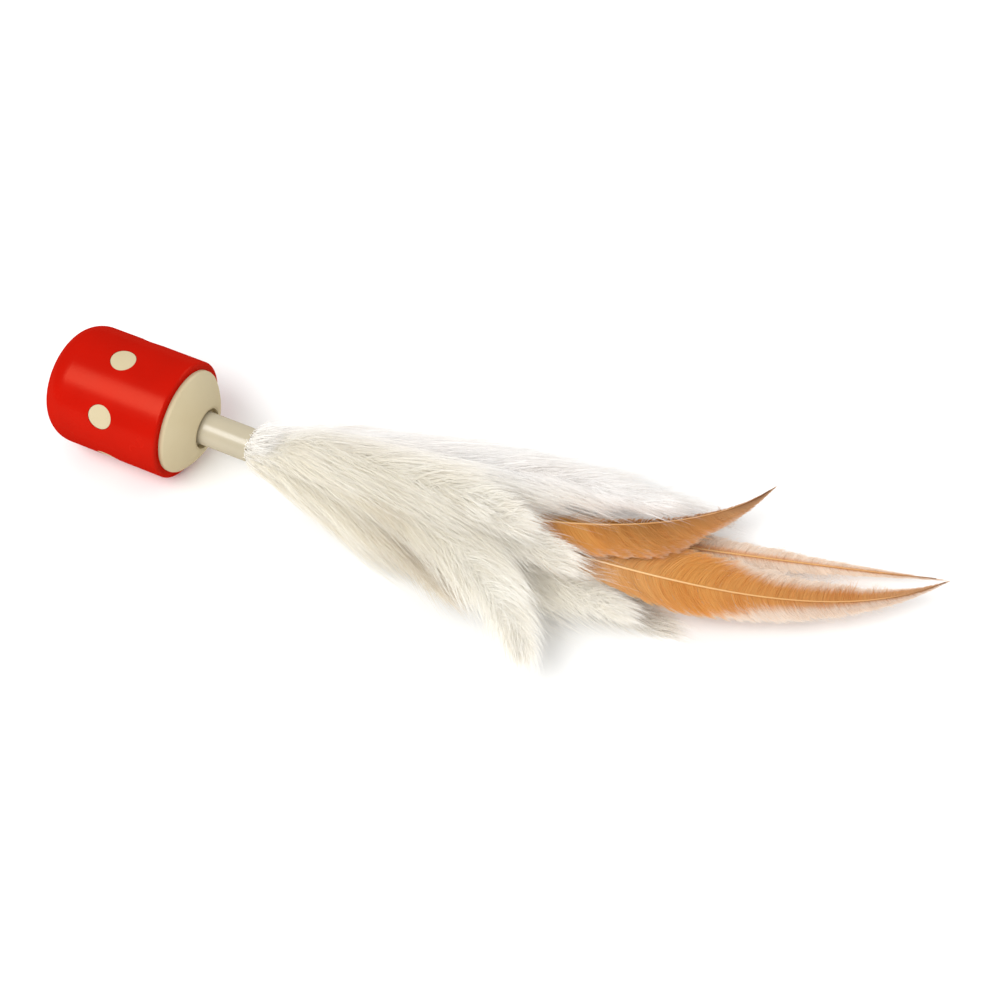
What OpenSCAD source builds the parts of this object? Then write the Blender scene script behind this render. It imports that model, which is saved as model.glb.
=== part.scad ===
// Feather lure of a cat teaser: a barrel head whose stem spins and carries a spray of feathers.
// The head's axis lies along +X and the origin is the centre of its flat back.
// The lure lies on its side, on a floor one head radius below the axis.

/* [Sleeve] */
// Outside diameter of the red sleeve
head_d = 26; // [25:0.5:32]
// Length of the sleeve from its flat back to its front lip
head_len = 29; // [28:0.5:40]
// Thickness of the sleeve's side wall
sleeve_wall = 1.6; // [1.2:0.1:2]
// Thickness of the sleeve's back wall
back_wall = 2; // [1.5:0.1:3]
// Radius round the back edge
back_round = 5.8; // [4:0.1:6]
// Radius on the outer edge of the front lip
lip_round = 0.7; // [0.3:0.1:1]

/* [Side dots] */
// Diameter of the round windows in the sleeve
dot_d = 5.5; // [4:0.25:7]
// Number of windows round the sleeve
dot_count = 6; // [3:1:8]
// Distance of the windows from the back
dot_x = 15.5; // [12:0.5:18]
// Depth of the core's pads below the sleeve's surface
dot_recess = 0.1; // [0.05:0.05:0.4]
// Clearance round each pad in its window
dot_gap = 0.08; // [0.05:0.01:0.2]

/* [Core] */
// Clearance between the sleeve and what is pressed into it
seat_gap = 0.05; // [0.02:0.01:0.1]
// Thickness of the core's side wall and floor
core_wall = 1.4; // [1:0.1:2]
// Wall round the socket for the stem's journal
socket_wall = 2; // [1.5:0.1:3]

/* [Front cap] */
// Thickness of the cap's rim inside the lip
cap_rim = 1.8; // [1.2:0.1:2.5]
// Height of the cap's edge in front of the lip
cap_step = 1.2; // [0.6:0.1:1.6]
// Height of the cap's top in front of the lip
cap_rise = 4.9; // [4:0.1:6]
// How far the cone of the cap swells outwards
cap_bulge = 0.4; // [0.2:0.05:0.8]
// Radius on the cap's edge
cap_round = 0.6; // [0.3:0.1:0.9]
// Width of the flat ring round the hole
cap_land = 0.5; // [0.3:0.1:1]
// Thickness of the cap's dome
cap_wall = 1.6; // [1.2:0.1:2.2]
// Length of the skirt that plugs into the core
skirt_len = 5; // [3:0.5:7]
// Thickness of the skirt
skirt_wall = 1.1; // [0.8:0.1:1.3]
// Length of the bearing tube behind the rim
tube_len = 9; // [6:0.5:10]
// Thickness of the bearing tube
tube_wall = 1.3; // [1:0.1:1.5]
// Gap round the foot of the stem where it leaves the cap
foot_gap = 0.9; // [0.5:0.1:1.2]
// Depth of that gap
foot_depth = 1.3; // [0.8:0.1:2]

/* [Stem] */
// Thickness of the stem's wall round the quills
stem_wall = 0.95; // [0.8:0.05:1.2]
// Length of the stem in front of the cap
stem_out = 11.1; // [9:0.5:16]
// How far the collar behind the bearing stands out from the stem
collar_reach = 1.1; // [0.8:0.1:1.3]
// Thickness of the collar
collar_t = 1.4; // [1:0.1:2]
// Diameter of the journal at the inner end
journal_d = 4; // [3:0.25:4.5]
// Length of the journal
journal_len = 7; // [4:0.5:8]
// Radial running clearance of the stem
spin_gap = 0.08; // [0.04:0.01:0.1]
// End play of the stem
end_gap = 0.2; // [0.1:0.05:0.3]

/* [Glue] */
// Length of the glue plug in the stem
plug_len = 9; // [6:0.5:12]
// Depth of the plug below the mouth of the stem
plug_drop = 0.8; // [0.4:0.1:1.5]
// Least glue between the outer quills and the stem
glue_wall = 0.2; // [0.15:0.05:0.4]
// Skin gap between glue and what it holds
glue_gap = 0.02; // [0.01:0.01:0.03]

/* [Feathers] */
// Length of the spray from the mouth of the stem to its furthest tip
spray_len = 141; // [120:1:170]
// Sideways sweep of the spray at its far end
spray_sweep = 31; // [20:1:40]
// Half width of the spray at its widest
spray_half_w = 19; // [17:0.5:24]
// Height of the spray's crest over the axis
crest_h = 9; // [7:0.5:12]
// Depth of the crest under the axis at the far end
crest_drop = 3.5; // [1:0.5:5]
// Diameter of a quill in the stem
quill_d = 0.9; // [0.8:0.05:1]
// Clear gap between neighbouring quills
quill_gap = 0.1; // [0.08:0.02:0.2]
// Diameter of a shaft where its vane is full
shaft_d = 0.56; // [0.4:0.02:0.6]
// Diameter of a shaft at its tip
shaft_tip_d = 0.2; // [0.15:0.05:0.3]
// Thickness of a vane beside its shaft
vane_t = 0.26; // [0.2:0.02:0.3]
// Half width of the widest vane
vane_w = 10; // [8:0.5:12]
// Distance from the stem over which a quill thins down to its shaft
open_len = 4; // [3:0.5:6]
// Depth of the ragged notches in a vane's edge, as a share of its width
notch_share = 0.24; // [0:0.02:0.3]

/* [Hidden] */
$fn = 96;
overrun = 1;
// Points along the dome's profile
dome_steps = 12;
white = [0.93, 0.91, 0.85];
ginger = [0.76, 0.5, 0.24];
cream = [0.85, 0.8, 0.67];
red = [0.8, 0.1, 0.04];

// Each row is one feather, from the lowest layer of the spray to the highest:
// lead, bend x, bend y, tip x, tip y, near width, far width, first and widest place of the vane.
// Lengths are shares of spray_len and widths are shares of vane_w.
feather_shares = [
    [0.08, 0.38, 0.02, 0.655, 0.02, 0.50, 0.85, 0.05, 0.55],
    [0.05, 0.17, 0.15, 0.43, 0.20, 0.55, 0.70, 0.05, 0.40],
    [0.05, 0.18, -0.02, 0.31, -0.04, 0.50, 0.55, 0.05, 0.45],
    [0.20, 0.55, 0.115, 0.985, 0.258, 0.62, 0.55, 0.42, 0.62],
    [0.08, 0.30, 0.17, 0.64, 0.213, 0.70, 0.76, 0.05, 0.45],
    [0.08, 0.34, 0.00, 0.60, -0.004, 0.78, 0.80, 0.05, 0.55],
    [0.20, 0.83, 0.02, 1.00, 0.245, 0.62, 0.80, 0.44, 0.60],
    [0.20, 0.58, 0.00, 0.712, 0.294, 0.80, 0.15, 0.42, 0.72],
    [0.06, 0.22, -0.03, 0.37, -0.09, 0.50, 0.60, 0.05, 0.45],
    [0.08, 0.28, 0.01, 0.505, 0.008, 0.70, 0.66, 0.05, 0.45],
    [0.07, 0.29, 0.09, 0.587, 0.158, 0.90, 0.76, 0.05, 0.58],
    [0.08, 0.38, 0.00, 0.508, -0.146, 0.52, 0.66, 0.05, 0.66],
    [0.08, 0.25, 0.00, 0.432, 0.01, 0.70, 0.72, 0.05, 0.45]
];
feather_count = len(feather_shares);

// A vane's outline past its widest place: (1 - share ^ first) ^ second
plume_fall = [2.4, 1];
hackle_fall = [1.3, 1.3];
// How far barbs lean towards the tip for each unit of width
plume_lean = 0.7;
hackle_lean = 1.1;
stations = 30;
notch_period = 3;
// Step along a shaft over which its direction is taken, as a share of its length
along_share = 0.01;

// Where the crest and the underside of the spray reach their height, and where the spray is widest and
// narrows again, as shares of its length
crest_rise_share = 0.12;
crest_fall_share = 0.35;
under_fall_share = 0.26;
spread_share = 0.3;
narrow_share = 0.5;
// Part of the half width that the spray loses by its far end
narrow_w_share = 0.35;
// Height left at the sides of the spray
side_h_share = 0.45;
// Power of the sweep's curve
sweep_power = 1.6;

head_r = head_d / 2;
sleeve_in_r = head_r - sleeve_wall;
core_r = sleeve_in_r - seat_gap;
core_in_r = core_r - core_wall;
core_back_x = back_wall + seat_gap;
core_floor_x = core_back_x + core_wall;
cap_seat_x = head_len - cap_rim;
cap_top_x = head_len + cap_rise;
mouth_x = cap_top_x + stem_out;

quill_r = quill_d / 2;
quill_pitch = quill_d + quill_gap;
layer_step = quill_pitch / 3;
pack_r = layer_step * (feather_count - 1) / 2;
bore_r = pack_r + quill_r + glue_wall;
stem_r = bore_r + stem_wall;
bearing_r = stem_r + spin_gap;
tube_r = bearing_r + tube_wall;
foot_r = stem_r + foot_gap;
dome_r = foot_r + cap_land;
skirt_r = core_in_r - seat_gap;
skirt_in_r = skirt_r - skirt_wall;

tube_end_x = cap_seat_x - tube_len;
collar_x = tube_end_x - end_gap - collar_t;
collar_r = stem_r + collar_reach;
socket_end_x = collar_x - end_gap;
journal_r = journal_d / 2;
socket_in_r = journal_r + spin_gap;
socket_r = socket_in_r + socket_wall;
journal_x = collar_x - journal_len;

plug_x = mouth_x - plug_drop - plug_len;
root_x = plug_x - glue_wall;
bore_x = root_x - end_gap;

floor_h = head_r - shaft_d / 2;

// Turns a profile of radius and height about the head's axis
module turned() {
    rotate([0, 90, 0]) rotate_extrude() children();
}

// Half section of a cup's outside with a rounded back edge
module round_back(r, length, edge) {
    translate([0, edge]) square([r, length - edge]);
    square([r - edge, edge]);
    translate([r - edge, edge]) intersection() {
        circle(edge);
        translate([0, -edge]) square(edge);
    }
}

// What a rounded outer corner takes away, with its centre at the corner's arc
module corner_waste(r) {
    difference() {
        square(r + overrun);
        circle(r);
    }
}

// A solid at each window, along the radius
module at_dots(d, height) {
    for (i = [0 : dot_count - 1])
        translate([dot_x, 0, 0]) rotate([360 / dot_count * i, 0, 0]) cylinder(d = d, h = height);
}

module red_sleeve() {
    color(red) difference() {
        turned() difference() {
            round_back(head_r, head_len, back_round);
            translate([0, back_wall]) round_back(sleeve_in_r, head_len, back_round - sleeve_wall);
            translate([head_r - lip_round, head_len - lip_round]) corner_waste(lip_round);
        }
        at_dots(dot_d, head_r + overrun);
    }
}

module cream_core() {
    color(cream) {
        difference() {
            union() {
                turned() translate([0, core_back_x])
                    round_back(core_r, cap_seat_x - core_back_x, back_round - sleeve_wall - seat_gap);
                intersection() {
                    at_dots(dot_d - 2 * dot_gap, head_r);
                    turned() square([head_r - dot_recess, head_len]);
                }
            }
            turned() difference() {
                translate([0, core_floor_x]) square([core_in_r, head_len]);
                square([socket_r, socket_end_x]);
            }
            turned() translate([0, journal_x - end_gap]) square([socket_in_r, head_len]);
        }
    }
}

// Point of the dome's profile between its outer edge and its land, pushed out by the bulge
function dome_point(share, outer, inner) =
    let (chord = inner - outer, out = [chord[1], -chord[0]] / norm(chord))
    outer + chord * share + out * cap_bulge * 4 * share * (1 - share);

module front_cap() {
    edge_x = head_len + cap_step;
    edge = [core_r - cap_round * (1 - cos(45)), edge_x - cap_round * (1 - cos(45))];
    land = [dome_r, cap_top_x];
    arc = [for (i = [0 : dome_steps]) dome_point(i / dome_steps, edge, land)];
    steep = (cap_top_x - edge_x) / (core_r - dome_r);
    under_x = cap_seat_x + cap_wall;
    color(cream) turned() difference() {
        union() {
            polygon(concat([[0, cap_seat_x], [core_r, cap_seat_x], [core_r, edge_x - cap_round]], arc,
                [[0, cap_top_x]]));
            translate([0, cap_seat_x - skirt_len]) square([skirt_r, skirt_len]);
            translate([0, tube_end_x]) square([tube_r, tube_len]);
        }
        difference() {
            polygon([[0, tube_end_x - overrun], [skirt_in_r, tube_end_x - overrun],
                [skirt_in_r, under_x - cap_round], [tube_r, under_x + (skirt_in_r - tube_r) * steep],
                [0, under_x + (skirt_in_r - tube_r) * steep]]);
            translate([0, tube_end_x]) square([tube_r, head_len]);
        }
        square([bearing_r, cap_top_x + overrun]);
        translate([0, cap_top_x - foot_depth]) square([foot_r, foot_depth + overrun]);
    }
}

module stem() {
    color(cream) turned() difference() {
        union() {
            translate([0, journal_x]) square([journal_r, journal_len]);
            translate([0, collar_x]) square([stem_r, mouth_x - collar_x]);
            translate([0, collar_x]) square([collar_r, collar_t]);
        }
        translate([0, bore_x]) square([bore_r, mouth_x]);
    }
}

// Sideways and upward place of a quill in the stem: three columns, one row for each layer
function quill_y(k) = quill_pitch * [0, 1, -1][k % 3];
function quill_z(k) = layer_step * k - pack_r;

module glue_plug() {
    color(cream) difference() {
        turned() translate([0, plug_x]) square([bore_r - glue_gap, plug_len]);
        for (k = [0 : feather_count - 1])
            translate([plug_x - overrun, quill_y(k), quill_z(k)]) rotate([0, 90, 0])
                cylinder(r = quill_r + glue_gap, h = plug_len + 2 * overrun);
    }
}

function ease(t) = let (c = min(max(t, 0), 1)) c * c * (3 - 2 * c);

// Underside, crest, middle line and half width of the spray at a share of its length
function under_z(t) = -pack_r - (floor_h - pack_r) * ease(t / under_fall_share);
function crest_z(t) = pack_r + (crest_h - pack_r) * ease(t / crest_rise_share)
    - (crest_h + crest_drop) * ease((t - crest_fall_share) / (1 - crest_fall_share));
function middle_y(t) = spray_sweep * pow(max(t, 0), sweep_power);
function half_w(t) = 2 * pack_r + (spray_half_w - 2 * pack_r) * ease(t / spread_share)
    - spray_half_w * narrow_w_share * ease((t - narrow_share) / (1 - narrow_share));

// Height of layer k over a point of the plan. The layers part as the spray opens, and never cross.
function layer_z(k, x, y) =
    let (t = x / spray_len,
        off = (y - middle_y(t)) / half_w(t),
        side = side_h_share + (1 - side_h_share) * exp(-off * off),
        full = 1 + (side - 1) * ease(t / crest_rise_share))
    under_z(t) + (crest_z(t) - under_z(t)) * full * k / (feather_count - 1);

// Plan of a feather's shaft: straight out of the stem, over the bend, to the tip
function plan(k, s) =
    let (row = feather_shares[k],
        a = [0, quill_y(k)],
        b = [row[0] * spray_len, quill_y(k)],
        c = [row[1], row[2]] * spray_len,
        d = [row[3], row[4]] * spray_len,
        r = 1 - s)
    a * r * r * r + b * 3 * r * r * s + c * 3 * r * s * s + d * s * s * s;

// Width of a vane at a share of its shaft's length, of its full width
function vane(s, first, widest, fall) =
    s < widest ? sin(90 * max(0, s - first) / (widest - first))
    : pow(1 - pow((s - widest) / (1 - widest), fall[0]), fall[1]);

// Ragged edge: the barbs clump, and each clump hides the shorter start of the next
function notch(i) = 1 - notch_share * (i % notch_period) / (notch_period - 1);

// Ring of a feather's section: twelve points round the quill that spread into the two vanes
ring = 12;
spread_shares = [1, 0.5, 0, 0, 0, -0.5, -1, -0.5, 0, 0, 0, 0.5];

function section(k, s, near_w, far_w, lean) =
    let (here = plan(k, s),
        ahead = plan(k, s + along_share) - plan(k, s - along_share),
        along = ahead / norm(ahead),
        across = [along[1], -along[0]],
        open = ease(plan(k, s)[0] / open_len),
        r = (quill_d + (shaft_d - quill_d) * open + (shaft_tip_d - shaft_d) * s * s) / 2)
    [for (j = [0 : ring - 1])
        let (angle = 360 / ring * j,
            w = spread_shares[j] > 0 ? near_w : far_w,
            out = r * cos(angle) + w * spread_shares[j],
            thin = abs(spread_shares[j]) > 0 ? vane_t / 2 : r,
            up = sin(angle) * (r + (thin - r) * open),
            p = here + across * out + along * abs(spread_shares[j]) * w * lean * (1 - s * s))
        [p[0] + mouth_x, p[1], layer_z(k, p[0], p[1]) + up]];

function quill_ring(k, x) = [for (j = [0 : ring - 1])
    [x, quill_y(k) - quill_r * cos(360 / ring * j), quill_z(k) + quill_r * sin(360 / ring * j)]];

// Closes rings of points into one solid. A blade's underside is split along the same lines as its top,
// so that the two never pass through each other where the blade thins out to its edge.
module skin(rings) {
    n = len(rings[0]);
    last = len(rings) - 1;
    points = [for (r = rings) for (p = r) p];
    sides = [for (i = [0 : last - 1]) for (j = [0 : n - 1])
        let (m = (j + 1) % n, a = i * n + j, b = i * n + m, c = b + n, d = a + n)
        each j < n / 2 ? [[a, c, d], [a, b, c]] : [[a, b, d], [b, c, d]]];
    ends = [[for (j = [n - 1 : -1 : 0]) j], [for (j = [0 : n - 1]) last * n + j]];
    polyhedron(points, concat(sides, ends));
}

module feather(k, is_hackle) {
    row = feather_shares[k];
    fall = is_hackle ? hackle_fall : plume_fall;
    lean = is_hackle ? hackle_lean : plume_lean;
    blade = [for (i = [1 : stations])
        let (s = i / stations, w = vane_w * vane(s, row[7], row[8], fall))
        section(k, s, row[5] * w * notch(i), row[6] * w * notch(i + 1), lean)];
    color(is_hackle ? ginger : white) skin(concat([quill_ring(k, root_x), quill_ring(k, mouth_x)], blade));
}

red_sleeve();
cream_core();
front_cap();
stem();
glue_plug();
feather(0, false);  // white_plume_1
feather(1, false);  // white_plume_2
feather(2, false);  // white_plume_3
feather(3, true);  // ginger_hackle_1
feather(4, false);  // white_plume_4
feather(5, false);  // white_plume_5
feather(6, true);  // ginger_hackle_2
feather(7, true);  // ginger_hackle_3
feather(8, false);  // white_plume_6
feather(9, false);  // white_plume_7
feather(10, false);  // white_plume_8
feather(11, false);  // white_plume_9
feather(12, false);  // white_plume_10
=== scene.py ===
import math

import bmesh
import bpy
import numpy as np
from mathutils import Matrix, Vector


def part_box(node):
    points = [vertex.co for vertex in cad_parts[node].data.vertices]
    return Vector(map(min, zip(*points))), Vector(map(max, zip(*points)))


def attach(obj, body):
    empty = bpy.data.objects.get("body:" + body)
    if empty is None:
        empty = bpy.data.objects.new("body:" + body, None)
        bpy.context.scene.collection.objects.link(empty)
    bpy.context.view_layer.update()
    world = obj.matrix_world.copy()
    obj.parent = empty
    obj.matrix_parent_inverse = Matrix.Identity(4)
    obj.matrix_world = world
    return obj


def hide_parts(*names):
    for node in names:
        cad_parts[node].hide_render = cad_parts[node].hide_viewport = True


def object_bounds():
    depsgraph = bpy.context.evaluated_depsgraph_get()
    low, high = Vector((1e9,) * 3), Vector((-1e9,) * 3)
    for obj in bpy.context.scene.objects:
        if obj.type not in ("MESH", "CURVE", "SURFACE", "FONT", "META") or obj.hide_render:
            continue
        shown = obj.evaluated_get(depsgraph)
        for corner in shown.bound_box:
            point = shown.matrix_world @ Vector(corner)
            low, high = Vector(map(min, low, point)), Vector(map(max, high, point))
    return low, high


# Feather lure of a cat teaser, lying on a pale floor.
# The head's axis is +X, its flat back is at the origin, and the floor is one head radius below the axis.
# Lengths in the dictionaries are in millimetres. Shares and powers have no unit.

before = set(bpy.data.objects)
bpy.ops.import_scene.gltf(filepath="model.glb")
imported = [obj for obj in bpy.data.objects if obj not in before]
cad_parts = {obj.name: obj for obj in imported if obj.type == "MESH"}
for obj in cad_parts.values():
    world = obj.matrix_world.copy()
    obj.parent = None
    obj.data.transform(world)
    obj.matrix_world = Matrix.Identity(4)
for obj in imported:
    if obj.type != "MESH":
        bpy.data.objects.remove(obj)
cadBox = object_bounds()
mm = 0.001


def toLinear(hexColour):
    parts = [int(hexColour[i:i + 2], 16) / 255 for i in (1, 3, 5)]
    return [p / 12.92 if p <= 0.04045 else ((p + 0.055) / 1.055) ** 2.4 for p in parts] + [1.0]


# a node with its settings and links: a socket takes a plain value, or the output that it is given, and a
# colour ramp takes (place, hex colour) stops
def addNode(tree, kind, settings=None, links=None, stops=()):
    node = tree.nodes.new(kind)
    for name, value in (settings or {}).items():
        setattr(node, name, value)
    for name, value in (links or {}).items():
        socket = node.inputs[name]
        if isinstance(value, bpy.types.NodeSocket):
            tree.links.new(value, socket)
        else:
            socket.default_value = value
    if stops:
        elements = node.color_ramp.elements
        while len(elements) < len(stops):
            elements.new(0.5)
        for element, (place, hexColour) in zip(elements, stops):
            element.position = place
            element.color = toLinear(hexColour)
    return node


def newMaterial(name):
    material = bpy.data.materials.new(name)
    material.use_nodes = True
    material.node_tree.nodes.clear()
    return material, material.node_tree


def wear(obj, material):
    obj.data.materials.clear()
    obj.data.materials.append(material)


# camera at the photograph's viewing angle, and soft light in a white tent
studio = {
    "camera": (203.1, -213.5, 327.3),
    "forward": (-0.2573, 0.5438, -0.7988),
    "lens": 72,
    "sensor": 36,
    "clip": (10, 10000),
    "floorSize": 6000,
    "paper": "#FAFAF9",
    "world": 0.7,
    "key": {"from": (-0.2573, -0.5437, 0.7987), "distance": 700, "size": (640, 360), "watts": 4.0},
    "fill": {"from": (0.3, 0.85, 0.5), "distance": 800, "size": (800, 400), "watts": 1.6},
}


def lookAlong(direction):
    return Vector(direction).to_track_quat("-Z", "Y")


def placeCamera():
    camera = bpy.data.objects.new("camera", bpy.data.cameras.new("camera"))
    bpy.context.collection.objects.link(camera)
    camera.data.lens = studio["lens"]
    camera.data.sensor_width = studio["sensor"]
    camera.data.clip_start = studio["clip"][0] * mm
    camera.data.clip_end = studio["clip"][1] * mm
    camera.location = Vector(studio["camera"]) * mm
    camera.rotation_mode = "QUATERNION"
    camera.rotation_quaternion = lookAlong(studio["forward"])
    bpy.context.scene.camera = camera
    print("camera placed")


def softbox(name, settings):
    lamp = bpy.data.lights.new(name, "AREA")
    lamp.shape = "RECTANGLE"
    lamp.size = settings["size"][0] * mm
    lamp.size_y = settings["size"][1] * mm
    lamp.energy = settings["watts"]
    box = bpy.data.objects.new(name, lamp)
    bpy.context.collection.objects.link(box)
    towards = Vector(settings["from"]).normalized()
    middle = Vector((cadBox[0].x + cadBox[1].x, 0, 0)) / 2
    box.location = middle + towards * settings["distance"] * mm
    box.rotation_mode = "QUATERNION"
    box.rotation_quaternion = lookAlong(-towards)


def lightStudio(floorZ):
    world = bpy.data.worlds.new("lightTent")
    bpy.context.scene.world = world
    world.use_nodes = True
    background = world.node_tree.nodes["Background"]
    background.inputs["Color"].default_value = (1, 1, 1, 1)
    background.inputs["Strength"].default_value = studio["world"]
    softbox("keySoftbox", studio["key"])
    softbox("fillSoftbox", studio["fill"])
    bm = bmesh.new()
    bmesh.ops.create_grid(bm, x_segments=1, y_segments=1, size=studio["floorSize"] / 2 * mm)
    bmesh.ops.translate(bm, verts=bm.verts, vec=(0, 0, floorZ))
    mesh = bpy.data.meshes.new("paperFloor")
    bm.to_mesh(mesh)
    bm.free()
    floor = bpy.data.objects.new("paperFloor", mesh)
    bpy.context.collection.objects.link(floor)
    # matt background paper: an even white that shows no highlight
    material, tree = newMaterial("mattPaper")
    paper = addNode(tree, "ShaderNodeBsdfPrincipled", links={
        "Base Color": toLinear(studio["paper"]), "Roughness": 1.0, "Specular IOR Level": 0.1})
    addNode(tree, "ShaderNodeOutputMaterial", links={"Surface": paper.outputs["BSDF"]})
    wear(floor, material)
    bpy.context.scene.view_settings.view_transform = "Standard"
    print("studio lit")


# Plastics of the head. deep: colour of faint patches, and cloud their size. roughness: from, to.
# coat, coatColour: share and colour of the gloss on top. skin, depth: size and height of the mould's
# ripple, drawn coarser than it is, so that it shows.

# sleeve, injection-moulded satin ABS: a strong red with one soft, orange highlight along the barrel
sleeveFinish = {
    "colour": "#B60900", "deep": "#AE0800", "cloud": 9, "roughness": (0.23, 0.28),
    "coat": 0.038, "coatColour": "#FF8C6C", "skin": 0.7, "depth": 0.01,
}
# core and cap, the same ABS in cream: duller, so that the dome shades evenly
creamFinish = {
    "colour": "#C4B694", "deep": "#C0B18E", "cloud": 9, "roughness": (0.34, 0.39),
    "coat": 0.045, "coatColour": "#FFF8EC", "skin": 0.7, "depth": 0.005,
}
# stem, ivory ABS from a smooth mould: the glossiest, with a line of light along the tube
stemFinish = {
    "colour": "#B7AC93", "deep": "#B1A78F", "cloud": 9, "roughness": (0.22, 0.27),
    "coat": 0.055, "coatColour": "#FFFFFF", "skin": 0.7, "depth": 0.01,
}
# hot glue, set as it was poured: milky, and lumpy between the quills
glueFinish = {
    "colour": "#EFE7D2", "deep": "#E6DCC2", "cloud": 2, "roughness": (0.28, 0.33),
    "coat": 0.04, "coatColour": "#FFFFFF", "skin": 0.9, "depth": 0.06,
}
patchBand = (0.3, 0.7)  # noise values between which a patch changes
rippleStrength = 0.25


# an even coat of soft gloss over a barely rippled body, so that round sides keep their colour to the edge
def mouldedPlastic(name, finish):
    material, tree = newMaterial(name)
    place = addNode(tree, "ShaderNodeTexCoord").outputs["Object"]
    cloud = addNode(tree, "ShaderNodeTexNoise", links={
        "Vector": place, "Scale": 1 / (finish["cloud"] * mm), "Detail": 3.0}).outputs["Fac"]
    skin = addNode(tree, "ShaderNodeTexNoise", links={
        "Vector": place, "Scale": 1 / (finish["skin"] * mm), "Detail": 2.0}).outputs["Fac"]
    colour = addNode(tree, "ShaderNodeValToRGB", links={"Fac": cloud}, stops=[
        (patchBand[0], finish["deep"]), (patchBand[1], finish["colour"])]).outputs["Color"]
    gloss = addNode(tree, "ShaderNodeMapRange", links={
        "Value": cloud, "From Min": patchBand[0], "From Max": patchBand[1],
        "To Min": finish["roughness"][0], "To Max": finish["roughness"][1]}).outputs["Result"]
    ripple = addNode(tree, "ShaderNodeBump", links={
        "Height": skin, "Strength": rippleStrength, "Distance": finish["depth"] * mm}).outputs["Normal"]
    body = addNode(tree, "ShaderNodeBsdfPrincipled", links={
        "Base Color": colour, "Roughness": gloss, "Specular IOR Level": 0.0, "Normal": ripple})
    coat = addNode(tree, "ShaderNodeBsdfGlossy", links={
        "Color": toLinear(finish["coatColour"]), "Roughness": gloss, "Normal": ripple})
    both = addNode(tree, "ShaderNodeMixShader", links={
        "Fac": finish["coat"], 1: body.outputs["BSDF"], 2: coat.outputs["BSDF"]})
    addNode(tree, "ShaderNodeOutputMaterial", links={"Surface": both.outputs["Shader"]})
    return material


def dressHead():
    cream = mouldedPlastic("satinCreamAbs", creamFinish)
    plastics = {
        "red_sleeve": mouldedPlastic("satinRedAbs", sleeveFinish),
        "cream_core": cream,
        "front_cap": cream,
        "stem": mouldedPlastic("satinIvoryAbs", stemFinish),
        "glue_plug": mouldedPlastic("setHotGlue", glueFinish),
    }
    for node, material in plastics.items():
        wear(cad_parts[node], material)
    print("head dressed")


# the spray's envelope, the same that the solids follow. Shares are of its length where no note says more.
spray = {
    "length": 141,
    "sweep": 31,  # how far the tip lies to the far side
    "sweepPower": 1.6,
    "halfWidth": 19,
    "spreadShare": 0.3,
    "narrowShare": 0.5,
    "narrowWidthShare": 0.35,  # of the half width, lost from there to the tip
    "crest": 9,  # top above the axis
    "crestDrop": 3.5,  # how far under the axis the top ends
    "crestRiseShare": 0.12,
    "crestFallShare": 0.35,
    "underFallShare": 0.26,
    "sideHeightShare": 0.45,  # of the height, left far out at the sides
    "quill": 0.9,
    "quillGap": 0.1,
    "shaft": 0.56,
    "shaftTip": 0.2,
    "open": 4,  # how far out of the stem a quill has thinned to its shaft
    "vane": 10,  # full width of one side of a feather
}
quillColumns = (0, 1, -1)  # in the stem, turn and turn about from the lowest layer up

# every feather from the lowest layer to the highest. Shares of the spray's length: lead, bend x, bend y,
# tip x, tip y. Shares of the full vane: near width, far width. Shares of the shaft: first, widest.
featherShares = {
    "white_plume_1": (0.08, 0.38, 0.02, 0.655, 0.02, 0.50, 0.85, 0.05, 0.55),
    "white_plume_2": (0.05, 0.17, 0.15, 0.43, 0.20, 0.55, 0.70, 0.05, 0.40),
    "white_plume_3": (0.05, 0.18, -0.02, 0.31, -0.04, 0.50, 0.55, 0.05, 0.45),
    "ginger_hackle_1": (0.20, 0.55, 0.115, 0.985, 0.258, 0.62, 0.55, 0.42, 0.62),
    "white_plume_4": (0.08, 0.30, 0.17, 0.64, 0.213, 0.70, 0.76, 0.05, 0.45),
    "white_plume_5": (0.08, 0.34, 0.00, 0.60, -0.004, 0.78, 0.80, 0.05, 0.55),
    "ginger_hackle_2": (0.20, 0.83, 0.02, 1.00, 0.245, 0.62, 0.80, 0.44, 0.60),
    "ginger_hackle_3": (0.20, 0.58, 0.00, 0.712, 0.294, 0.80, 0.15, 0.42, 0.72),
    "white_plume_6": (0.06, 0.22, -0.03, 0.37, -0.09, 0.50, 0.60, 0.05, 0.45),
    "white_plume_7": (0.08, 0.28, 0.01, 0.505, 0.008, 0.70, 0.66, 0.05, 0.45),
    "white_plume_8": (0.07, 0.29, 0.09, 0.587, 0.158, 0.90, 0.76, 0.05, 0.58),
    "white_plume_9": (0.08, 0.38, 0.00, 0.508, -0.146, 0.52, 0.66, 0.05, 0.66),
    "white_plume_10": (0.08, 0.25, 0.00, 0.432, 0.01, 0.70, 0.72, 0.05, 0.45),
}

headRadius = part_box("red_sleeve")[1].z / mm
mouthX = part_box("stem")[1].x / mm
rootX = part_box("white_plume_1")[0].x / mm
floorHeight = headRadius - spray["shaft"] / 2
quillPitch = spray["quill"] + spray["quillGap"]
layerStep = quillPitch / len(quillColumns)
topLayer = len(featherShares) - 1
packRadius = layerStep * topLayer / 2


def ease(t):
    c = np.clip(t, 0, 1)
    return c * c * (3 - 2 * c)


def underZ(t):
    return -packRadius - (floorHeight - packRadius) * ease(t / spray["underFallShare"])


def crestZ(t):
    fall = (t - spray["crestFallShare"]) / (1 - spray["crestFallShare"])
    rise = (spray["crest"] - packRadius) * ease(t / spray["crestRiseShare"])
    return packRadius + rise - (spray["crest"] + spray["crestDrop"]) * ease(fall)


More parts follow.
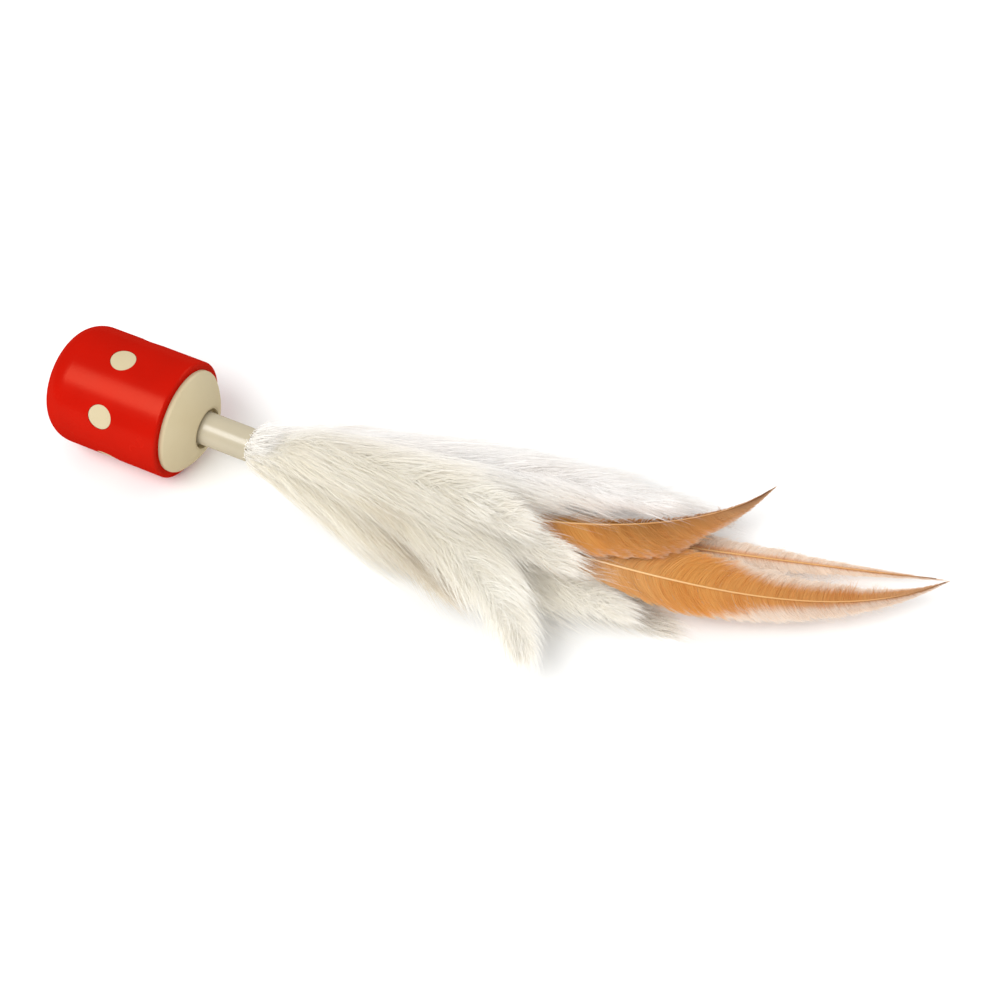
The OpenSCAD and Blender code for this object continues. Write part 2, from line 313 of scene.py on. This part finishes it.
def halfWidth(t):
    wide = (spray["halfWidth"] - 2 * packRadius) * ease(t / spray["spreadShare"])
    narrow = ease((t - spray["narrowShare"]) / (1 - spray["narrowShare"]))
    return 2 * packRadius + wide - spray["halfWidth"] * spray["narrowWidthShare"] * narrow


# how far a point of the plan lies from the spray's swept middle line
def offMiddle(x, y):
    return y - spray["sweep"] * np.maximum(x / spray["length"], 0) ** spray["sweepPower"]


# the spray's underside over a point of the plan, and its height there
def heights(x, y):
    t = x / spray["length"]
    off = offMiddle(x, y) / halfWidth(t)
    side = spray["sideHeightShare"] + (1 - spray["sideHeightShare"]) * np.exp(-off * off)
    full = 1 + (side - 1) * ease(t / spray["crestRiseShare"])
    under = underZ(t)
    return under, (crestZ(t) - under) * full


def layerZ(layer, x, y):
    under, tall = heights(x, y)
    return under + tall * layer / topLayer


def quillPlace(layer):
    return quillPitch * quillColumns[layer % len(quillColumns)], layerStep * layer - packRadius


# plan of a shaft from the mouth of the stem: its place, its direction, and millimetres for each unit of s
def shaftPlan(layer, shares, s):
    length = spray["length"]
    y0 = quillPlace(layer)[0]
    r = 1 - s
    weights = np.stack([r ** 3, 3 * r * r * s, 3 * r * s * s, s ** 3])
    xs = np.array([0, shares[0], shares[1], shares[3]]) * length
    ys = np.array([y0, y0, shares[2] * length, shares[4] * length])
    slopes = np.stack([-3 * r * r, 3 * r * r - 6 * r * s, 6 * r * s - 3 * s * s, 3 * s * s])
    x, y = np.tensordot(xs, weights, 1), np.tensordot(ys, weights, 1)
    dx, dy = np.tensordot(xs, slopes, 1), np.tensordot(ys, slopes, 1)
    size = np.hypot(dx, dy)
    return x, y, dx / size, dy / size, size


# comb of loose strips: a grid with every second row of faces taken out
def combMesh(name, count, steps):
    bm = bmesh.new()
    bmesh.ops.create_grid(bm, x_segments=steps, y_segments=2 * count - 1, size=1)
    bm.verts.ensure_lookup_table()
    between = [f for f in bm.faces if min(v.index for v in f.verts) // (steps + 1) % 2]
    bmesh.ops.delete(bm, geom=between, context="FACES")
    mesh = bpy.data.meshes.new(name)
    bm.to_mesh(mesh)
    bm.free()
    return mesh


def setAttribute(mesh, name, values):
    layer = mesh.attributes.new(name, "FLOAT", "POINT")
    layer.data.foreach_set("value", np.ascontiguousarray(values, dtype=np.float32).ravel())


# Combs of barbs. count, wide, steps: how many, how wide at the root and how many pieces long each is.
# zone: shares of the shaft between which they stand. start: where their vane begins, or None for the
# solid's. fullness, fall: powers of the vane's growth and of its narrowing to the tip. shortest: shortest
# barb's share of a full one. lean: how far they run on towards the tip for each unit that they reach out.
# clump, pull, ragged: length of a lock, how far its barbs close up, how much locks differ. wave, scatter,
# tilt: sideways sway, lift off the layer and twist. tuft: reach past the tip. root: how far from the
# shaft's middle they start. burst: 1 for fluff that stands out all round, between two lengths given as out.
plumeBarbs = {
    "count": 5200, "wide": 0.18, "steps": 7, "zone": (0, 1), "start": 0.0, "fullness": 0.5,
    "fall": (2.2, 0.85), "shortest": 0.35, "lean": 3.6, "clump": 5, "pull": 0.2, "ragged": 0.35,
    "wave": 0.5, "scatter": 1.2, "tilt": 0.35, "tuft": 5.5, "root": 1.3, "burst": 0, "seed": 11,
}
plumeWisps = {
    "count": 4200, "wide": 0.1, "steps": 7, "zone": (0, 1), "start": 0.0, "fullness": 0.5,
    "fall": (2.6, 0.7), "shortest": 0.2, "lean": 5.5, "clump": 5, "pull": 0.1, "ragged": 0.35,
    "wave": 0.9, "scatter": 1.6, "tilt": 1.2, "tuft": 7.5, "root": 1.6, "burst": 0, "seed": 12,
}
mouthFluff = {
    "count": 700, "wide": 0.13, "steps": 7, "zone": (0, 0.08), "start": 0.0, "fullness": 0.5,
    "fall": (1.0, 1.0), "shortest": 0.5, "lean": 4, "clump": 3, "pull": 0.1, "ragged": 0.1,
    "wave": 0.12, "scatter": 0, "tilt": 1.2, "tuft": 0, "root": 1.4, "burst": 1, "seed": 15,
    "out": (1.0, 2.4),
}
hackleBarbs = {
    "count": 7500, "wide": 0.15, "steps": 6, "zone": (0, 1), "start": None, "fullness": 1.0,
    "fall": (1.3, 1.2), "shortest": 0.86, "lean": 1.35, "clump": 1.3, "pull": 0.3, "ragged": 0.1,
    "wave": 0.08, "scatter": 0.2, "tilt": 0.25, "tuft": 2, "root": 0.05, "burst": 0, "seed": 13,
}
hackleFluff = {
    "count": 2600, "wide": 0.08, "steps": 7, "zone": (0.05, 0.9), "start": 0.05, "fullness": 0.8,
    "fall": (2.0, 1.0), "shortest": 0.6, "lean": 1.4, "clump": 3.0, "pull": 0.35, "ragged": 0.3,
    "wave": 0.7, "scatter": 1.0, "tilt": 1.2, "tuft": 0, "root": 0.2, "burst": 0, "seed": 14,
}

# what all combs share
growth = {
    "stations": 60,  # places on a shaft that its length is averaged from
    "lockStray": 0.35,  # most that a lock's tip strays, as a share of the lock
    "longest": 1.1,  # longest barb's share of a full one
    "leastTuft": 0.2,  # least share of the reach past the tip
    "barbLift": 0.5,  # spread of a single barb's lift
    "lockLift": 0.45,  # spread of the lift that a lock shares
    "fullTurn": 6.28,
    "swayTurns": (0.4, 1.3),
    "rootClip": 1.8,  # most that a start strays, in spreads of root
    "outPower": 1.7,  # how early a barb reaches out
    "onPower": 1.25,  # how late it runs on towards the tip
    "leastPulled": 0.5,  # barbs shorter than this don't close up
    "loose": 3,  # barbs lift freely after so many times the length in open
    "mostGap": 2,  # most of the gap between two layers that lift grows with
    "liftPower": 0.8,
    "grain": 0.25,  # random height, so that no two barbs lie in one plane
    "floorGap": 0.1,  # least height of a barb above the floor
    "floorGrain": 0.1,  # random height on top of that
    "edgeGap": 0.05,  # least height of a strip's edges
    "taper": 0.85,  # share of the width that is gone at the tip
    "taperPower": 1.5,
    "wideSpread": (0.7, 1.2),  # narrowest and widest strip, as shares of wide
}


# width of a vane along its shaft, as a share of its full width
def vaneShare(s, first, widest, fullness, fall):
    rise = np.sin(np.clip((s - first) / (widest - first), 0, 1) * math.pi / 2) ** fullness
    drop = np.clip(1 - np.clip((s - widest) / (1 - widest), 0, 1) ** fall[0], 0, 1) ** fall[1]
    return np.where(s < widest, rise, drop)


# places the strips of a comb as barbs on both sides of a shaft, and shades them
def growBarbs(mesh, layer, shares, barbs):
    draw = np.random.default_rng(barbs["seed"] * 100 + layer)
    count = barbs["count"]
    nearShare, farShare, first, widest = shares[5:9]
    first = first if barbs["start"] is None else barbs["start"]
    s0 = draw.uniform(max(barbs["zone"][0], first), barbs["zone"][1], count)
    near = draw.random(count) < nearShare / (nearShare + farShare)
    full = np.where(near, nearShare, farShare) * spray["vane"]
    length = shaftPlan(layer, shares, np.linspace(0, 1, growth["stations"]))[4].mean()

    # neighbours fall into locks that share a tip, a length, a lift and a tone
    locks = int(length / barbs["clump"]) + 2
    lockStray = draw.uniform(-growth["lockStray"], growth["lockStray"], (2, locks))
    lockLong = 1 - barbs["ragged"] * draw.random((2, locks))
    lockLift = draw.normal(0, 1, (2, locks))
    lockTone = draw.random((2, locks))
    lock = np.clip((s0 * length / barbs["clump"]).astype(int), 0, locks - 1)
    mine = near.astype(int), lock
    middle = (lock + 0.5 + lockStray[mine]) * barbs["clump"] / length

    long = lockLong[mine] * draw.uniform(barbs["shortest"], growth["longest"], count)
    width = full * vaneShare(s0, first, widest, barbs["fullness"], barbs["fall"]) * long
    if barbs["burst"]:
        width = draw.uniform(*barbs["out"], count)
    tuft = barbs["tuft"] * s0 ** 4 * draw.uniform(growth["leastTuft"], 1, count)
    reach = width * barbs["lean"] * (1 - s0 ** 2) + tuft
    lift = draw.normal(0, growth["barbLift"], count) + growth["lockLift"] * lockLift[mine]
    phase = draw.uniform(0, growth["fullTurn"], count)[:, None]
    turns = draw.uniform(*growth["swayTurns"], count)[:, None]
    spin = draw.uniform(0, growth["fullTurn"], count) * barbs["burst"]
    clip = growth["rootClip"]
    start = barbs["root"] * np.clip(draw.normal(0, 1, count), -clip, clip)[:, None]
    rise = barbs["root"] * np.clip(draw.normal(0, 1, count), -clip, clip)[:, None] * barbs["burst"]

    # from here on, a row is a barb, and u runs along it from root to tip
    u = np.linspace(0, 1, barbs["steps"] + 1)[None, :]
    out = 1 - (1 - u) ** growth["outPower"]
    on = u ** growth["onPower"]
    s = s0[:, None] + reach[:, None] * on / length
    s = s + (middle - s0)[:, None] * barbs["pull"] * u ** 2 * (width[:, None] > growth["leastPulled"])
    x, y, alongX, alongY, _ = shaftPlan(layer, shares, s)
    side = np.where(near, 1, -1)[:, None]
    sway = barbs["wave"] * np.sin(phase + turns * u * growth["fullTurn"]) * u
    across = (width * np.cos(spin))[:, None] * out + start
    x = x + side * alongY * across + alongX * sway
    y = y - side * alongX * across + alongY * sway
    gap = np.minimum(heights(x, y)[1] / topLayer, growth["mostGap"])
    free = ease(x / spray["open"] / growth["loose"])
    z = layerZ(layer, x, y) + lift[:, None] * barbs["scatter"] * gap * u ** growth["liftPower"] * free
    z = z + (width * np.sin(spin))[:, None] * out + rise + growth["grain"] * draw.random((count, 1))
    lowest = -headRadius + growth["floorGap"] + growth["floorGrain"] * draw.random((count, 1))
    layStrips(mesh, np.stack([x + mouthX, y, np.maximum(z, lowest)], -1), u, barbs, draw)
    tone = barbTone(layer, s0, lockTone[mine], barbs, draw)
    shadeStrips(mesh, layer, s0, near, u, offMiddle(x, y), tone, barbs)
    mesh.shade_smooth()
    mesh.update()


def unit(rows):
    return rows / (np.linalg.norm(rows, axis=2, keepdims=True) + 1e-9)  # never a division by nought


# a flat strip along each barb, a little twisted, which narrows to its tip
def layStrips(mesh, spot, u, barbs, draw):
    ahead = unit(np.gradient(spot, axis=1))
    flat = unit(np.cross(ahead, np.array([0, 0, 1.0])))
    up = np.cross(flat, ahead)
    tilt = draw.normal(0, barbs["tilt"], barbs["count"])[:, None, None]
    broad = (flat * np.cos(tilt) + up * np.sin(tilt)) * barbs["wide"] / 2
    broad = broad * (1 - growth["taper"] * u ** growth["taperPower"])[..., None]
    broad = broad * draw.uniform(*growth["wideSpread"], (barbs["count"], 1, 1))
    sides = np.stack([spot - broad, spot + broad], 1)
    sides[..., 2] = np.maximum(sides[..., 2], -headRadius + growth["edgeGap"])
    mesh.vertices.foreach_set("co", (sides * mm).astype(np.float32).ravel())


# how light each feather is at three stations of its shaft, by layer. The upper plumes are cleaner white, the
# lower ones creamier, and the values below nought, at one plume's middle and another's end, are painted
# shade:
# the beige of the hollow between the locks.
featherTonesAndShade = {
    0: (0.4, 0.4, 0.4), 1: (0.6, 0.6, 0.6), 2: (0.4, 0.4, 0.4), 3: (0.5, 0.5, 0.5), 4: (0.8, 0.8, 0.8),
    5: (0.7, 0.7, 0.7), 6: (0.5, 0.5, 0.5), 7: (1.0, 1.0, 1.0), 8: (0.8, 0.7, -0.5), 9: (0.85, 0.85, 0.85),
    10: (1.0, 1.0, 1.0), 11: (0.8, -0.2, 1.1), 12: (0.8, 0.8, 1.0),
}

# where each hackle's coloured web ends along a barb, and how dark its root is, by station and side
hackleWebs = {
    3: {"station": (0.38, 0.46, 0.60, 0.72, 0.88, 1.0), "nearWeb": (0.0, 0.9, 0.5, 0.08, 0.06, 0.5),
        "farWeb": (0.0, 1.0, 0.6, 0.2, 0.15, 0.5), "nearShade": (0, 0, 0, 0, 0, 0.1),
        "farShade": (0, 0.1, 0.05, 0, 0, 0.1)},
    6: {"station": (0.38, 0.48, 0.62, 0.72, 0.88, 1.0), "nearWeb": (0.0, 1.1, 1.05, 0.34, 0.08, 0.5),
        "farWeb": (0.0, 1.1, 1.0, 0.48, 0.55, 0.9), "nearShade": (0, 0, 0, 0.05, 0.15, 0.25),
        "farShade": (0, 0, 0, 0.05, 0.15, 0.25)},
    7: {"station": (0.38, 0.48, 0.62, 0.75, 0.90, 1.0), "nearWeb": (0.0, 0.7, 0.95, 1.0, 0.9, 1.2),
        "farWeb": (0.0, 0.8, 1.0, 1.0, 1.0, 1.2), "nearShade": (0, 0, 0, 0.35, 0.4, 1.0),
        "farShade": (0, 0.2, 0.5, 0.9, 0.8, 1.0)},
}

shading = {
    "stations": (0.2, 0.45, 0.7),  # those of the tones
    "ownShare": 0.4,  # a barb's tone is its feather's, its lock's and its own in these shares
    "lockShare": 0.3,
    "barbShare": 0.3,
    # painted light: the fluff at the stem's mouth is lightened against the shade that it lies in
    "burstShare": 0.5,  # how far the fluff at the mouth goes on towards the lightest tone
    "webSoft": 0.35,  # share of a barb over which its web pales
    "shadeFade": 0.75,  # how much of a dark root is gone at the barb's tip
    "coolWide": 12,  # over this width, the spray turns from cream to cool white
    "coolMiddle": 0.35,  # where in that turn its middle line lies
    "coolTip": 0.45,  # share of the cream that is lost at a barb's tip
    "coolEnd": 0.4,  # the same at a feather's end
    "coolBurst": 0.6,  # the same in the fluff at the mouth
}


def barbTone(layer, s0, lockTone, barbs, draw):
    own = np.interp(s0, shading["stations"], featherTonesAndShade[layer])
    tone = shading["ownShare"] * own + shading["lockShare"] * lockTone
    tone = tone + shading["barbShare"] * draw.random(barbs["count"])
    # painted light on the fluff at the mouth, which lies in shade
    return tone + shading["burstShare"] * (1 - tone) * barbs["burst"]


# what the materials read along each barb: pale and shade on a hackle, cool on a plume, and the rest on both
def shadeStrips(mesh, layer, s0, near, u, off, tone, barbs):
    station = s0[:, None]
    shades = {"station": station, "tone": tone[:, None]}
    if layer in hackleWebs:
        webs = hackleWebs[layer]
        edge, shade = (np.where(near, np.interp(s0, webs["station"], webs["near" + part]),
                                np.interp(s0, webs["station"], webs["far" + part]))[:, None]
                       for part in ("Web", "Shade"))
        shades["pale"] = ease((u - edge) / shading["webSoft"] + 0.5)
        shades["shade"] = shade * (1 - shading["shadeFade"] * u)
    else:
        cream = 1 - ease(off / shading["coolWide"] + shading["coolMiddle"])
        cream = cream * (1 - shading["coolTip"] * u ** 2) * (1 - shading["coolEnd"] * station ** 4)
        shades["cool"] = 1 - cream * (1 - shading["coolBurst"] * barbs["burst"])
    for name, values in shades.items():
        setAttribute(mesh, name, np.broadcast_to(values[:, None, :], (barbs["count"], 2, barbs["steps"] + 1)))


# Quills and shafts. slim: share of the solid's shaft. proud: how far it stands above its layer, from the
# station riseFrom on and over the length riseOver.
plumeShaft = {"sides": 8, "stations": 44, "slim": 0.5, "proud": 0, "riseFrom": 0.3, "riseOver": 0.1}
hackleShaft = {"sides": 8, "stations": 44, "slim": 1.0, "proud": 0.35, "riseFrom": 0.3, "riseOver": 0.1}


# round quill that runs out of the stem and thins to its tip
def shaftMesh(name, layer, shares, shaft):
    bm = bmesh.new()
    bmesh.ops.create_circle(bm, cap_ends=True, segments=shaft["sides"], radius=spray["quill"] / 2)
    turn = Vector((0, 0, 1)).rotation_difference(Vector((1, 0, 0))).to_matrix()
    bmesh.ops.rotate(bm, verts=bm.verts, cent=(0, 0, 0), matrix=turn)
    y0, z0 = quillPlace(layer)
    here, heading, radius = Vector((rootX - mouthX, y0, z0)), Vector((1, 0, 0)), spray["quill"] / 2
    bmesh.ops.translate(bm, verts=bm.verts, vec=here)
    rim = list(bm.edges)
    stations = shaft["stations"]
    places = [Vector((0, y0, z0))]
    for i in range(1, stations + 1):
        s = np.array(i / stations)
        x, y = shaftPlan(layer, shares, s)[:2]
        rise = shaft["proud"] * float(ease((s - shaft["riseFrom"]) / shaft["riseOver"]))
        places.append(Vector((float(x), float(y), float(layerZ(layer, x, y)) + rise)))
    for i, place in enumerate(places):
        s = i / stations
        opened = float(ease(place.x / spray["open"]))
        thin = spray["quill"] + (spray["shaft"] - spray["quill"]) * opened
        thin = (thin + (spray["shaftTip"] - spray["shaft"]) * s * s) / 2 * (1 + (shaft["slim"] - 1) * opened)
        ahead = places[min(i + 1, stations)] - places[max(i - 1, 0)]
        made = bmesh.ops.extrude_edge_only(bm, edges=rim)["geom"]
        verts = [g for g in made if isinstance(g, bmesh.types.BMVert)]
        rim = [g for g in made if isinstance(g, bmesh.types.BMEdge)]
        bmesh.ops.translate(bm, verts=verts, vec=place - here)
        turn = heading.rotation_difference(ahead).to_matrix()
        bmesh.ops.rotate(bm, verts=verts, cent=place, matrix=turn)
        bmesh.ops.scale(bm, verts=verts, vec=[thin / radius] * 3, space=Matrix.Translation(-place))
        here, heading, radius = place, ahead, thin
    bmesh.ops.edgeloop_fill(bm, edges=rim)
    bmesh.ops.translate(bm, verts=bm.verts, vec=(mouthX, 0, 0))
    bmesh.ops.scale(bm, verts=bm.verts, vec=[mm] * 3)
    bmesh.ops.recalc_face_normals(bm, faces=bm.faces)
    mesh = bpy.data.meshes.new(name)
    bm.to_mesh(mesh)
    bm.free()
    at = np.empty(len(mesh.vertices) * 3, np.float32)
    mesh.vertices.foreach_get("co", at)
    setAttribute(mesh, "station", np.clip((at[0::3] / mm - mouthX) / (shares[3] * spray["length"]), 0, 1))
    mesh.shade_smooth()
    return mesh


# Finishes of the feathers. through: share of the light that comes through a barb.
barbSurface = {"Roughness": 0.75, "Specular IOR Level": 0.25}
hornSurface = {"Roughness": 0.35, "IOR": 1.54}
downFinish = {  # by tone
    # the stop at nought is painted shade: only the hollow's tones below 0.12 reach its darker beige
    "warm": [(0.0, "#D9CEB6"), (0.12, "#EEE8D8"), (0.9, "#FDFBF4")],
    "cool": [(0.1, "#F8F3EE"), (0.9, "#FFFEFD")],
    "through": 0.45,
}
hackleFinish = {  # web and ends by station, streaks by tone
    "web": [(0.38, "#FAEBD4"), (0.50, "#F6CE92"), (0.62, "#F4BD6A"), (0.85, "#F2B870"), (1.0, "#EECBA4")],
    "ends": [(0.40, "#FEF8F0"), (0.70, "#FFF6EC"), (1.0, "#FDEEDE")],
    "streaks": [(0.0, "#F0E8E0"), (1.0, "#FFFFFF")],
    "dark": "#8A4A22",
    "through": 0.45,
}
hornFinish = {  # by station
    "white": [(0.0, "#F2EBDC"), (1.0, "#F6F2E9")],
    # the ginger's last, dark brown stop is painted shade, where a hackle's far barbs shade the end of its
    # shaft
    "ginger": [(0.0, "#EFE0BF"), (0.40, "#F8DDB8"), (0.50, "#F0C890"), (0.62, "#E8BC82"),
               (0.78, "#DCA868"), (0.92, "#D8A066"), (1.0, "#8E5A35")],
}


# barbs of both kinds: matt, and so thin that they glow where light stands behind them
def finishBarbs(tree, colour, through):
    matt = addNode(tree, "ShaderNodeBsdfPrincipled", links={"Base Color": colour, **barbSurface})
    glow = addNode(tree, "ShaderNodeBsdfTranslucent", links={"Color": colour})
    both = addNode(tree, "ShaderNodeMixShader", links={
        "Fac": through, 1: matt.outputs["BSDF"], 2: glow.outputs["BSDF"]})
    addNode(tree, "ShaderNodeOutputMaterial", links={"Surface": both.outputs["Shader"]})


# bleached down: each lock a shade of its own, cream in the middle of the spray, and a cooler, faintly pink
# white along its far side
def downMaterial(name, finish):
    material, tree = newMaterial(name)
    tone, cool = (addNode(tree, "ShaderNodeAttribute", {"attribute_name": part}).outputs["Fac"]
                  for part in ("tone", "cool"))
    warmWhite, coolWhite = (
        addNode(tree, "ShaderNodeValToRGB", links={"Fac": tone}, stops=finish[part]).outputs["Color"]
        for part in ("warm", "cool"))
    colour = addNode(tree, "ShaderNodeMix", {"data_type": "RGBA"}, {
        "Factor": cool, "A": warmWhite, "B": coolWhite}).outputs["Result"]
    finishBarbs(tree, colour, finish["through"])
    return material


# ginger cock hackle: a deep orange web beside the shaft, and soft barb ends that pale to peach
def hackleMaterial(name, finish):
    material, tree = newMaterial(name)
    station, tone, pale, shade = (
        addNode(tree, "ShaderNodeAttribute", {"attribute_name": part}).outputs["Fac"]
        for part in ("station", "tone", "pale", "shade"))
    web, ends, streaks = (
        addNode(tree, "ShaderNodeValToRGB", links={"Fac": by}, stops=finish[part]).outputs["Color"]
        for part, by in (("web", station), ("ends", station), ("streaks", tone)))
    plain = addNode(tree, "ShaderNodeMix", {"data_type": "RGBA"}, {
        "Factor": pale, "A": web, "B": ends}).outputs["Result"]
    streaked = addNode(tree, "ShaderNodeMix", {"data_type": "RGBA", "blend_type": "MULTIPLY"}, {
        "Factor": 1.0, "A": plain, "B": streaks}).outputs["Result"]
    colour = addNode(tree, "ShaderNodeMix", {"data_type": "RGBA"}, {
        "Factor": shade, "A": streaked, "B": toLinear(finish["dark"])}).outputs["Result"]
    finishBarbs(tree, colour, finish["through"])
    return material


# keratin of a quill: horn with a soft shine
def hornMaterial(name, stops):
    material, tree = newMaterial(name)
    station = addNode(tree, "ShaderNodeAttribute", {"attribute_name": "station"}).outputs["Fac"]
    colour = addNode(tree, "ShaderNodeValToRGB", links={"Fac": station}, stops=stops).outputs["Color"]
    horn = addNode(tree, "ShaderNodeBsdfPrincipled", links={"Base Color": colour, **hornSurface})
    addNode(tree, "ShaderNodeOutputMaterial", links={"Surface": horn.outputs["BSDF"]})
    return material


def joinMeshes(name, meshes):
    objects = [bpy.data.objects.new(name, mesh) for mesh in meshes]
    for obj in objects:
        bpy.context.collection.objects.link(obj)
    with bpy.context.temp_override(active_object=objects[0], selected_editable_objects=objects):
        bpy.ops.object.join()
    return objects[0]


whiteDown = downMaterial("bleachedDown", downFinish)
gingerWeb = hackleMaterial("gingerHackle", hackleFinish)
whiteHorn = hornMaterial("whiteQuillHorn", hornFinish["white"])
gingerHorn = hornMaterial("gingerQuillHorn", hornFinish["ginger"])


def makeFeather(layer, name, shares):
    hackle = name.startswith("ginger")
    combs = (hackleBarbs, hackleFluff, mouthFluff) if hackle else (plumeBarbs, plumeWisps, mouthFluff)
    meshes = []
    for barbs in combs:
        mesh = combMesh(name, barbs["count"], barbs["steps"])
        growBarbs(mesh, layer, shares, barbs)
        mesh.materials.append(gingerWeb if hackle else whiteDown)
        meshes.append(mesh)
    shaft = shaftMesh(name, layer, shares, hackleShaft if hackle else plumeShaft)
    shaft.materials.append(gingerHorn if hackle else whiteHorn)
    feather = joinMeshes(name + "_feather", meshes + [shaft])
    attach(feather, "spray")
    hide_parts(name)


placeCamera()
lightStudio(-headRadius * mm)
dressHead()
for layer, (name, shares) in enumerate(featherShares.items()):
    makeFeather(layer, name, shares)
print("feathers grown")
